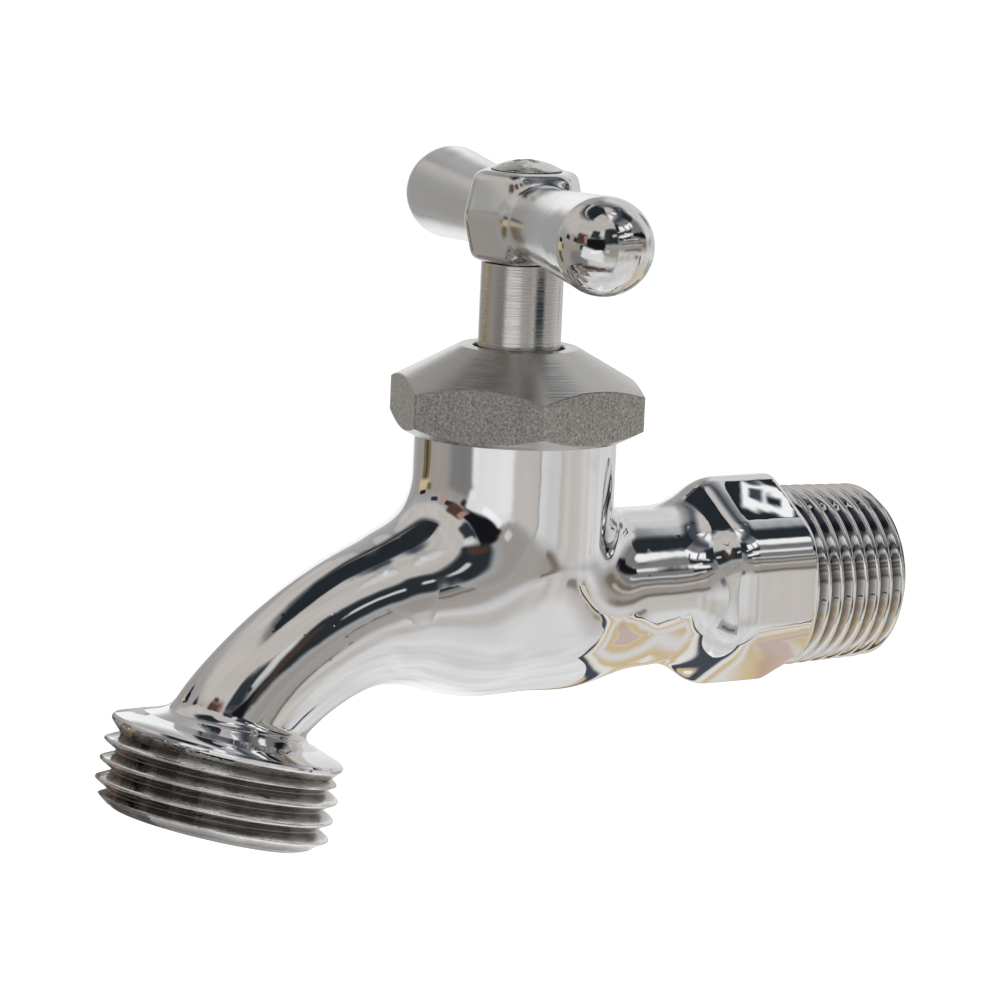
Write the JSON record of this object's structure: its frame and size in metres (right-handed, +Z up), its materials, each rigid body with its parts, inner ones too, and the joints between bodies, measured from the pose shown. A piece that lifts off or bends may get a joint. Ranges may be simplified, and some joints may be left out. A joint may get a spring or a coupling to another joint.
{
  "type": "laundry tap",
  "caption": "Chromed laundry tap: male pipe inlet with wrench collar, curved-down spout with male hose thread, cap nut, rising stem and T-handle with ball ends.",
  "frame": {"origin": "centre of the inlet's end face", "axes": "+Y along the inlet thread, out of the tap into the pipe; +Z up along the stem; the spout leaves towards -Y and turns down"},
  "size_m": [0.0624, 0.1009, 0.0766],
  "materials": {
    "polished_chrome": "mirror polished chrome plate on a brass casting",
    "satin_nut": "satin chrome plate, unpolished grain on the flats, turned cone",
    "turned_stem": "turned and plated, fine rings round the rod",
    "handle_chrome": "chrome plate over a lightly polished casting",
    "screw_chrome": "chrome plated domed screw",
    "brass": "plain turned brass",
    "washer_rubber": "moulded black rubber",
    "packing": "braided graphite packing",
    "gasket_fibre": "red fibre gasket"
  },
  "bodies": {
    "tap_body": {"body": "polished_chrome", "cap_nut": "satin_nut", "cap_gasket": "gasket_fibre", "packing_washer": "brass", "packing_ring": "packing"},
    "jumper": {"washer_holder": "brass", "seat_washer": "washer_rubber", "washer_screw": "brass"},
    "spindle": {"stem": "turned_stem", "tee_handle": "handle_chrome", "handle_screw": "screw_chrome"}
  },
  "joints": [
    {"name": "stem_rise", "type": "slide", "parent": "tap_body", "child": "jumper", "axis": [0, 0, 1], "range_m": [0, 0.00625]},
    {"name": "handle_turn", "type": "hinge", "parent": "jumper", "child": "spindle", "pos_m": [0, -0.05, 0], "axis": [0, 0, 1], "range_deg": [0, 900]}
  ],
  "couplings": [
    {"joint": "stem_rise", "follows": "handle_turn", "m_per_rad": 0.00039789}
  ]
}
